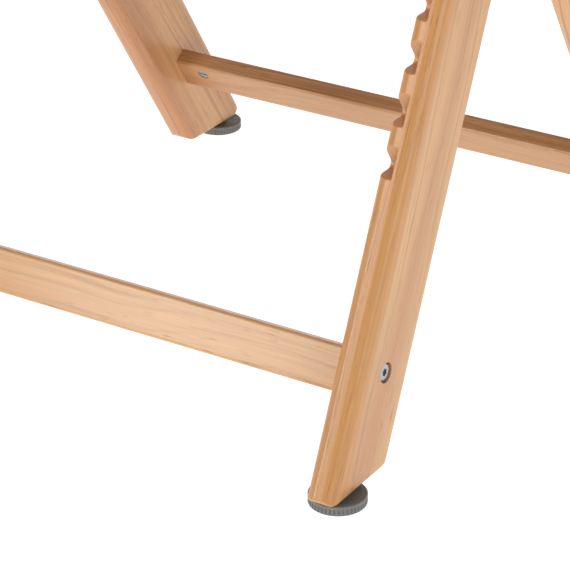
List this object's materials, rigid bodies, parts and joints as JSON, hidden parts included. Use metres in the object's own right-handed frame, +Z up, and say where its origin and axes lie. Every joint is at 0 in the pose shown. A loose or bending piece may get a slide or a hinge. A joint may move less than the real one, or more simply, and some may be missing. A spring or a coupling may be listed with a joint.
{
  "type": "high chair",
  "caption": "Wooden baby high chair: notched leaning legs, braced rear legs, hook-in seat and footrest, swing-over guard, harness and levelling feet.",
  "frame": {"origin": "middle of the chair's own box, on the floor", "axes": "+Z up, +Y to the rear, +X to the right for someone facing the front of the chair"},
  "size_m": [0.4798, 0.5362, 0.8626],
  "materials": {
    "leg_wood": "light hardwood, satin lacquer",
    "rail_wood": "light hardwood, satin lacquer",
    "slat_wood": "light hardwood, satin lacquer",
    "board_wood": "light hardwood, satin lacquer",
    "batten_wood": "light hardwood, satin lacquer",
    "guard_wood": "bent light hardwood, satin lacquer",
    "dowel_wood": "plain beech",
    "zinc_steel": "bright zinc plate",
    "rod_aluminium": "brushed",
    "stud_steel": "zinc plate",
    "insert_brass": "plain",
    "foot_plastic": "moulded, mid grey",
    "washer_nylon": "natural nylon",
    "webbing": "woven polyester",
    "buckle_plastic": "moulded, dark grey",
    "button_plastic": "moulded, light grey"
  },
  "bodies": {
    "frame": {"left_main_leg": "leg_wood", "right_main_leg": "leg_wood", "left_rear_leg": "leg_wood", "right_rear_leg": "leg_wood", "front_cross_rail": "rail_wood", "rear_cross_rail": "rail_wood", "front_rail_bolts": "zinc_steel", "rear_rail_bolts": "zinc_steel", "rail_barrel_nuts": "zinc_steel", "rail_dowels": "dowel_wood", "leg_joint_bolts": "zinc_steel", "leg_joint_sleeve_nuts": "zinc_steel", "lower_back_slat": "slat_wood", "upper_back_slat": "slat_wood", "back_slat_bolts": "zinc_steel", "back_slat_barrel_nuts": "zinc_steel", "back_slat_dowels": "dowel_wood", "foot_inserts": "insert_brass", "guard_pivot_bolts": "zinc_steel", "guard_sleeve_nuts": "zinc_steel", "guard_washers": "washer_nylon", "guard_stop_pegs": "zinc_steel"},
    "seat": {"seat_board": "board_wood", "seat_left_batten": "batten_wood", "seat_right_batten": "batten_wood", "seat_front_rod": "rod_aluminium", "seat_rear_rod": "rod_aluminium", "seat_screws": "zinc_steel", "crotch_strap": "webbing", "left_waist_strap": "webbing", "right_waist_strap": "webbing", "buckle_body": "buckle_plastic", "left_buckle_tongue": "buckle_plastic", "right_buckle_tongue": "buckle_plastic"},
    "buckle_button": {"buckle_button": "button_plastic"},
    "footrest": {"footrest_board": "board_wood", "footrest_left_batten": "batten_wood", "footrest_right_batten": "batten_wood", "footrest_front_rod": "rod_aluminium", "footrest_rear_rod": "rod_aluminium", "footrest_screws": "zinc_steel"},
    "guard": {"guard_rail": "guard_wood"},
    "front_left_foot_stud": {"front_left_foot_stud": "stud_steel"},
    "front_left_foot_disc": {"front_left_foot_disc": "foot_plastic"},
    "front_right_foot_stud": {"front_right_foot_stud": "stud_steel"},
    "front_right_foot_disc": {"front_right_foot_disc": "foot_plastic"},
    "rear_left_foot_stud": {"rear_left_foot_stud": "stud_steel"},
    "rear_left_foot_disc": {"rear_left_foot_disc": "foot_plastic"},
    "rear_right_foot_stud": {"rear_right_foot_stud": "stud_steel"},
    "rear_right_foot_disc": {"rear_right_foot_disc": "foot_plastic"}
  },
  "joints": [
    {"name": "seat_tilt", "type": "hinge", "parent": "frame", "child": "seat", "pos_m": [0, -0.01328, 0.5644], "axis": [-1, 0, 0], "range_deg": [0, 30]},
    {"name": "footrest_tilt", "type": "hinge", "parent": "frame", "child": "footrest", "pos_m": [0, -0.0988, 0.3742], "axis": [-1, 0, 0], "range_deg": [0, 30]},
    {"name": "guard_swing", "type": "hinge", "parent": "frame", "child": "guard", "pos_m": [0, 0.10464, 0.75716], "axis": [-1, 0, 0], "range_deg": [0, 262]},
    {"name": "button_press", "type": "slide", "parent": "seat", "child": "buckle_button", "axis": [0, 0, -1], "range_m": [0, 0.0018], "stiffness_N_per_m": 1500},
    {"name": "front_left_foot_travel", "type": "slide", "parent": "frame", "child": "front_left_foot_stud", "axis": [0, 0, -1], "range_m": [0, 0.0101]},
    {"name": "front_left_foot_turn", "type": "hinge", "parent": "front_left_foot_stud", "child": "front_left_foot_disc", "pos_m": [-0.1979, -0.2426, 0.005], "axis": [0, 0, -1], "range_deg": [0, 2880]},
    {"name": "front_right_foot_travel", "type": "slide", "parent": "frame", "child": "front_right_foot_stud", "axis": [0, 0, -1], "range_m": [0, 0.0101]},
    {"name": "front_right_foot_turn", "type": "hinge", "parent": "front_right_foot_stud", "child": "front_right_foot_disc", "pos_m": [0.1979, -0.2426, 0.005], "axis": [0, 0, -1], "range_deg": [0, 2880]},
    {"name": "rear_left_foot_travel", "type": "slide", "parent": "frame", "child": "rear_left_foot_stud", "axis": [0, 0, -1], "range_m": [0, 0.0101]},
    {"name": "rear_left_foot_turn", "type": "hinge", "parent": "rear_left_foot_stud", "child": "rear_left_foot_disc", "pos_m": [-0.2199, 0.2481, 0.005], "axis": [0, 0, -1], "range_deg": [0, 2880]},
    {"name": "rear_right_foot_travel", "type": "slide", "parent": "frame", "child": "rear_right_foot_stud", "axis": [0, 0, -1], "range_m": [0, 0.0101]},
    {"name": "rear_right_foot_turn", "type": "hinge", "parent": "rear_right_foot_stud", "child": "rear_right_foot_disc", "pos_m": [0.2199, 0.2481, 0.005], "axis": [0, 0, -1], "range_deg": [0, 2880]}
  ],
  "couplings": [
    {"joint": "front_left_foot_travel", "follows": "front_left_foot_turn", "m_per_rad": 0.00019894},
    {"joint": "front_right_foot_travel", "follows": "front_right_foot_turn", "m_per_rad": 0.00019894},
    {"joint": "rear_left_foot_travel", "follows": "rear_left_foot_turn", "m_per_rad": 0.00019894},
    {"joint": "rear_right_foot_travel", "follows": "rear_right_foot_turn", "m_per_rad": 0.00019894}
  ]
}
